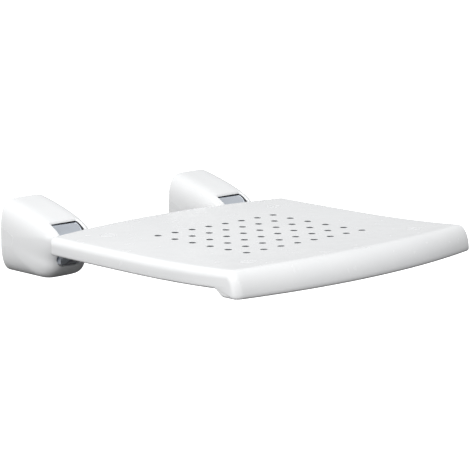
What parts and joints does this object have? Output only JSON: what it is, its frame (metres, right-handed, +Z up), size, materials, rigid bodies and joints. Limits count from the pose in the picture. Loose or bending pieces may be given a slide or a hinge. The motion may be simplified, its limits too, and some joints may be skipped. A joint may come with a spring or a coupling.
{
  "type": "folding shower seat",
  "caption": "Wall-mounted folding shower seat with a drained seat on two hinged arms and covered wall brackets.",
  "frame": {"origin": "in the wall plane, midway between the two brackets, at the height of the hinge axis", "axes": "+X to the right along the wall, +Y into the wall, +Z up; the seat folded down points along -Y"},
  "size_m": [0.4, 0.4579, 0.0915],
  "materials": {
    "seat_plastic": "smooth white moulded plastic",
    "cover_plastic": "glossy white moulded plastic",
    "cap_plastic": "glossy white moulded plastic",
    "arm_chrome": "bright chrome plating",
    "bracket_steel": "satin stainless plate",
    "fastener_steel": "turned stainless steel",
    "bush_nylon": "natural nylon",
    "seal_rubber": "matt black sheet rubber"
  },
  "bodies": {
    "wall_unit": {"left_wall_seal": "seal_rubber", "right_wall_seal": "seal_rubber", "left_bracket": "bracket_steel", "right_bracket": "bracket_steel", "left_stop_plate": "bracket_steel", "right_stop_plate": "bracket_steel", "left_hinge_pin": "fastener_steel", "right_hinge_pin": "fastener_steel", "left_pin_rings": "fastener_steel", "right_pin_rings": "fastener_steel", "left_cover": "cover_plastic", "right_cover": "cover_plastic", "cover_screws": "fastener_steel"},
    "seat_unit": {"left_arm": "arm_chrome", "right_arm": "arm_chrome", "left_bushes": "bush_nylon", "right_bushes": "bush_nylon", "thread_inserts": "fastener_steel", "seat_shell": "seat_plastic", "seat_washers": "fastener_steel", "seat_screws": "fastener_steel", "screw_caps": "cap_plastic"}
  },
  "joints": [
    {"name": "seat_fold", "type": "hinge", "parent": "wall_unit", "child": "seat_unit", "pos_m": [0, -0.0665, 0.002], "axis": [-1, 0, 0], "range_deg": [0, 90]}
  ]
}
